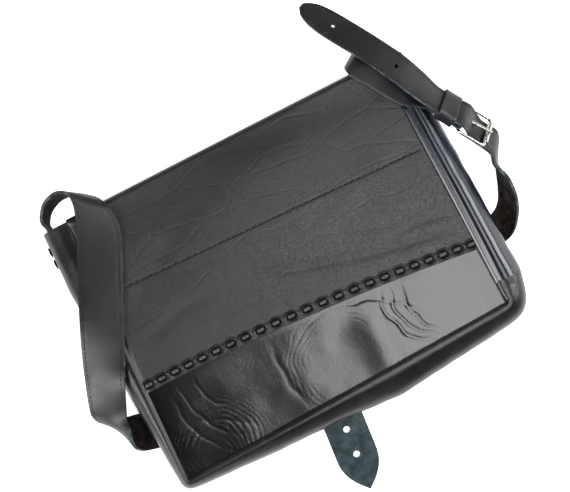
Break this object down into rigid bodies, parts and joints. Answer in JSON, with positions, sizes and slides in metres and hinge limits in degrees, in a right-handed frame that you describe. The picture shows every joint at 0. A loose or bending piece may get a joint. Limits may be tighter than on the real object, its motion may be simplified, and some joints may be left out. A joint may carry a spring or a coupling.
{
  "type": "leather saddlebag",
  "caption": "Leather bag lying on its flap, laced back panel up, with rolled sides, a closing tongue and a buckled shoulder strap looped over it.",
  "frame": {"origin": "middle of the flap's outer face, which is what the bag lies on", "axes": "+X along the bag's width, +Y towards its top edge, +Z out of its back panel"},
  "size_m": [0.4593, 0.4326, 0.0672],
  "materials": {
    "matte_leather": "satin, dark charcoal, softly creased",
    "glossy_leather": "glossy black, finely creased",
    "navy_leather": "glossy dark navy",
    "suede": "grey-green flesh side, napped",
    "strap_leather": "satin grain one side, suede the other",
    "smooth_leather": "smooth dark grey",
    "lace": "waxed dark grey lace",
    "thread": "waxed thread",
    "nickel": "polished nickel",
    "brass": "aged"
  },
  "bodies": {
    "bag": {"back_panel_upper": "matte_leather", "back_panel_lower": "glossy_leather", "seam_lace": "lace", "back_stitching": "thread", "inner_pocket": "suede", "gusset_matte": "matte_leather", "gusset_navy": "navy_leather", "gusset_hem": "matte_leather", "gusset_lace": "lace", "front_panel": "matte_leather", "mouth_binding": "matte_leather", "closing_stud": "brass", "stud_screw": "brass", "stud_patch": "suede", "flap_top": "matte_leather", "strap_ring": "strap_leather", "strap_run": "strap_leather", "strap_wrap": "strap_leather", "strap_under": "strap_leather", "strap_bow": "strap_leather", "strap_tail": "strap_leather", "buckle_strap": "smooth_leather", "left_strap_rivets": "brass", "right_strap_rivets": "brass"},
    "flap": {"flap_front": "matte_leather", "tongue_root": "suede", "tongue_stitching": "thread"},
    "tongue": {"tongue": "suede"},
    "buckle": {"buckle_frame": "nickel"},
    "prong": {"buckle_prong": "nickel"},
    "roller": {"buckle_roller": "nickel"},
    "keeper": {"strap_keeper": "smooth_leather"}
  },
  "joints": [
    {"name": "flap_fold", "type": "hinge", "parent": "bag", "child": "flap", "pos_m": [0, 0.1334, 0.0024], "axis": [1, 0, 0], "range_deg": [0, 180]},
    {"name": "tongue_bend", "type": "hinge", "parent": "flap", "child": "tongue", "pos_m": [-0.0145, -0.0836, 0.0024], "axis": [1, 0, 0], "range_deg": [0, 90]},
    {"name": "buckle_tilt", "type": "hinge", "parent": "bag", "child": "buckle", "pos_m": [0.20447, 0.05154, 0.04341], "axis": [-0.6083, -0.5302, 0.5906], "range_deg": [0, 6]},
    {"name": "prong_lift", "type": "hinge", "parent": "buckle", "child": "prong", "pos_m": [0.20447, 0.05154, 0.04341], "axis": [-0.6083, -0.5302, 0.5906], "range_deg": [0, 12]},
    {"name": "roller_turn", "type": "hinge", "parent": "buckle", "child": "roller", "pos_m": [0.2207, 0.0269, 0.038], "axis": [-0.6083, -0.5302, 0.5906], "continuous": true},
    {"name": "keeper_slide", "type": "slide", "parent": "bag", "child": "keeper", "axis": [-0.541, 0.8215, 0.1803], "range_m": [0, 0.006]}
  ]
}
